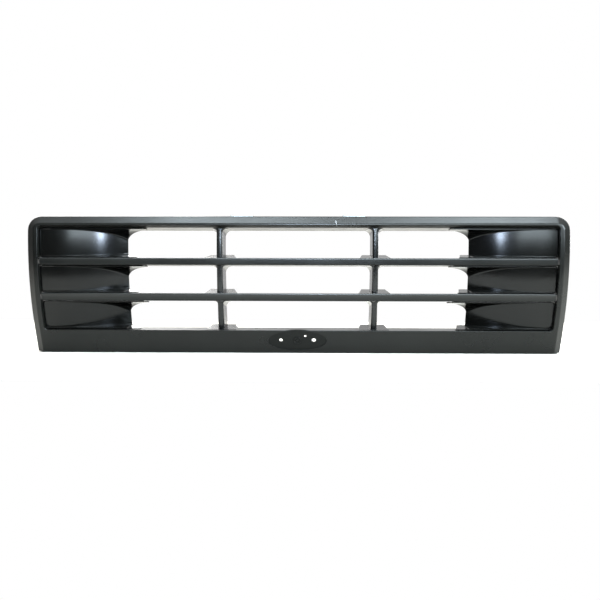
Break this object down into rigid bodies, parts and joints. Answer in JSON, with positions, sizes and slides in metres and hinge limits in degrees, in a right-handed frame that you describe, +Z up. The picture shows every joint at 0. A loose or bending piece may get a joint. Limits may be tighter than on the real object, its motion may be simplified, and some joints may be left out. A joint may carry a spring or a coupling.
{
  "type": "front grille",
  "caption": "Wide black front grille: bevelled surround with tucked-under lower panel and oval emblem seat, full-width slats, posts and convex end scoops, with its fasteners.",
  "frame": {"origin": "centre of the foot: halfway along the bottom edge, midway between the front plane and the rearmost clip", "axes": "+X to the right seen from the front, +Y rearward, +Z up; the front of the grille faces -Y"},
  "size_m": [1.05, 0.119, 0.2774],
  "materials": {
    "black_moulding": "satin, fine moulded grain",
    "bar_moulding": "satin",
    "scoop_moulding": "semi-gloss",
    "retainer_nylon": "natural moulded",
    "zinc_screw": "zinc plated",
    "spring_steel": "phosphate coated"
  },
  "bodies": {
    "grille": {"surround_frame": "black_moulding", "upper_slat": "bar_moulding", "lower_slat": "bar_moulding", "left_post": "bar_moulding", "right_post": "bar_moulding", "left_upper_scoop": "scoop_moulding", "left_middle_scoop": "scoop_moulding", "left_lower_scoop": "scoop_moulding", "right_upper_scoop": "scoop_moulding", "right_middle_scoop": "scoop_moulding", "right_lower_scoop": "scoop_moulding", "scoop_screws": "zinc_screw", "left_retainer_body": "retainer_nylon", "right_retainer_body": "retainer_nylon", "panel_clips": "spring_steel"},
    "left_pin": {"left_retainer_pin": "retainer_nylon"},
    "right_pin": {"right_retainer_pin": "retainer_nylon"}
  },
  "joints": [
    {"name": "left_pin_slide", "type": "slide", "parent": "grille", "child": "left_pin", "axis": [0, 0, 1], "range_m": [0, 0.007]},
    {"name": "right_pin_slide", "type": "slide", "parent": "grille", "child": "right_pin", "axis": [0, 0, 1], "range_m": [0, 0.007]}
  ]
}
